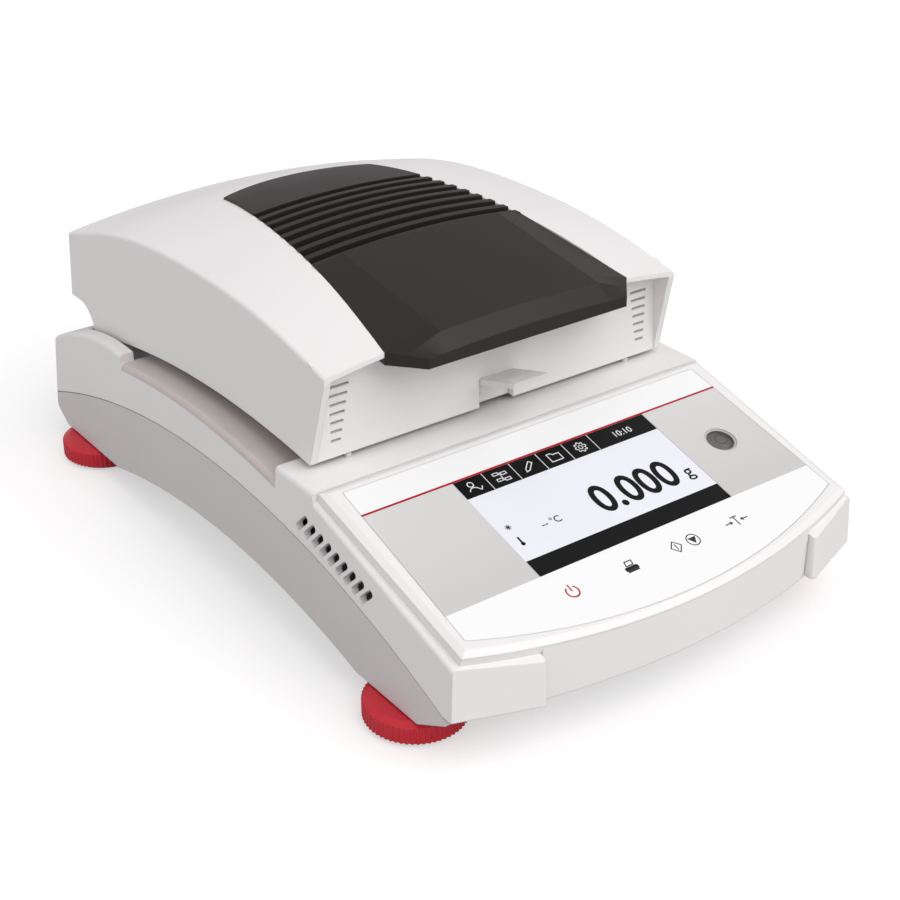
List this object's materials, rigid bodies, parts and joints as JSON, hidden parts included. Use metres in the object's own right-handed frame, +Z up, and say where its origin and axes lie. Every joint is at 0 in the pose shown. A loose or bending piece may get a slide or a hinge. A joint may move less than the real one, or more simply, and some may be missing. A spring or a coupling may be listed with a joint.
{
  "type": "moisture analyzer",
  "caption": "Bench moisture analyzer: precision balance under a hinged halogen heating lid with ribbed top plate, sloped display panel and levelling feet.",
  "frame": {"origin": "middle of the footprint, on the bench surface", "axes": "+Z up, the display panel faces -Y, +X to the right seen from the front"},
  "size_m": [0.2174, 0.3361, 0.1312],
  "materials": {
    "cover_white": "fine texture, satin",
    "tray_grey": "fine texture, satin",
    "plate_black": "satin, slightly brown",
    "liner_grey": "matt",
    "foil": "satin film",
    "display": "gloss",
    "lens": "clear",
    "vial": "satin",
    "foot_red": "gloss",
    "sole_rubber": "matt",
    "insert_brass": "turned",
    "board": "matt",
    "tub_steel": "brushed",
    "dish_aluminium": "bright",
    "cell_aluminium": "milled",
    "glass": "clear",
    "lamp_quartz": "clear",
    "ceramic": "matt",
    "socket_black": "matt",
    "socket_metal": "plated",
    "frame_steel": "brushed",
    "hinge_steel": "zinc plated"
  },
  "bodies": {
    "chassis": {"chamber_tub": "tub_steel", "display_module": "display", "draft_shield": "tub_steel", "foot_insert_front_left": "insert_brass", "foot_insert_front_right": "insert_brass", "foot_insert_rear_left": "insert_brass", "foot_insert_rear_right": "insert_brass", "hinge_bracket_left": "hinge_steel", "hinge_bracket_right": "hinge_steel", "hinge_pin_left": "hinge_steel", "hinge_pin_right": "hinge_steel", "housing_screw_front_left": "hinge_steel", "housing_screw_front_right": "hinge_steel", "housing_screw_rear_left": "hinge_steel", "housing_screw_rear_right": "hinge_steel", "keypad_board": "board", "level_lens": "lens", "level_vial": "vial", "lid_bumper_left": "sole_rubber", "lid_bumper_right": "sole_rubber", "load_cell": "cell_aluminium", "load_cell_mount": "cell_aluminium", "lower_housing": "tray_grey", "main_board": "board", "mains_inlet": "socket_black", "pan_support": "cell_aluminium", "panel_bezel": "cover_white", "panel_overlay": "foil", "power_supply": "board", "serial_port": "socket_metal", "upper_housing": "cover_white", "usb_port": "socket_metal", "weigh_post": "cell_aluminium"},
    "lid": {"lid_shell": "cover_white", "lid_insert": "plate_black", "lid_handle": "plate_black", "lid_frame": "liner_grey", "heat_glass": "glass", "glass_clamp": "frame_steel", "ring_lamp": "lamp_quartz", "lamp_holder_left": "ceramic", "lamp_holder_right": "ceramic", "reflector": "dish_aluminium", "temperature_probe": "frame_steel"},
    "pan_lifter": {"pan_lifter": "frame_steel"},
    "sample_pan": {"sample_pan": "dish_aluminium"},
    "foot_pad_front_left": {"foot_pad_front_left": "sole_rubber"},
    "foot_wheel_front_left": {"foot_wheel_front_left": "foot_red"},
    "foot_pad_front_right": {"foot_pad_front_right": "sole_rubber"},
    "foot_wheel_front_right": {"foot_wheel_front_right": "foot_red"},
    "foot_pad_rear_left": {"foot_pad_rear_left": "sole_rubber"},
    "foot_wheel_rear_left": {"foot_wheel_rear_left": "foot_red"},
    "foot_pad_rear_right": {"foot_pad_rear_right": "sole_rubber"},
    "foot_wheel_rear_right": {"foot_wheel_rear_right": "foot_red"}
  },
  "joints": [
    {"name": "lid_hinge", "type": "hinge", "parent": "chassis", "child": "lid", "pos_m": [0, 0.143, 0.082], "axis": [-1, 0, 0], "range_deg": [0, 75]},
    {"name": "lifter_slide", "type": "slide", "parent": "chassis", "child": "pan_lifter", "axis": [0, 0, 1], "range_m": [0, 0.0035]},
    {"name": "pan_slide", "type": "slide", "parent": "pan_lifter", "child": "sample_pan", "axis": [0, 0, 1], "range_m": [0, 0.0015]},
    {"name": "pad_front_left_travel", "type": "slide", "parent": "chassis", "child": "foot_pad_front_left", "axis": [0, 0, -1], "range_m": [0, 0.006]},
    {"name": "wheel_front_left_turn", "type": "hinge", "parent": "foot_pad_front_left", "child": "foot_wheel_front_left", "pos_m": [-0.089, -0.118, 0.005], "axis": [0, 0, 1], "range_deg": [0, 1728]},
    {"name": "pad_front_right_travel", "type": "slide", "parent": "chassis", "child": "foot_pad_front_right", "axis": [0, 0, -1], "range_m": [0, 0.006]},
    {"name": "wheel_front_right_turn", "type": "hinge", "parent": "foot_pad_front_right", "child": "foot_wheel_front_right", "pos_m": [0.089, -0.118, 0.005], "axis": [0, 0, 1], "range_deg": [0, 1728]},
    {"name": "pad_rear_left_travel", "type": "slide", "parent": "chassis", "child": "foot_pad_rear_left", "axis": [0, 0, -1], "range_m": [0, 0.006]},
    {"name": "wheel_rear_left_turn", "type": "hinge", "parent": "foot_pad_rear_left", "child": "foot_wheel_rear_left", "pos_m": [-0.089, 0.1315, 0.005], "axis": [0, 0, 1], "range_deg": [0, 1728]},
    {"name": "pad_rear_right_travel", "type": "slide", "parent": "chassis", "child": "foot_pad_rear_right", "axis": [0, 0, -1], "range_m": [0, 0.006]},
    {"name": "wheel_rear_right_turn", "type": "hinge", "parent": "foot_pad_rear_right", "child": "foot_wheel_rear_right", "pos_m": [0.089, 0.1315, 0.005], "axis": [0, 0, 1], "range_deg": [0, 1728]}
  ],
  "couplings": [
    {"joint": "wheel_front_left_turn", "follows": "pad_front_left_travel", "rad_per_m": 5026.5},
    {"joint": "wheel_front_right_turn", "follows": "pad_front_right_travel", "rad_per_m": 5026.5},
    {"joint": "wheel_rear_left_turn", "follows": "pad_rear_left_travel", "rad_per_m": 5026.5},
    {"joint": "wheel_rear_right_turn", "follows": "pad_rear_right_travel", "rad_per_m": 5026.5}
  ]
}
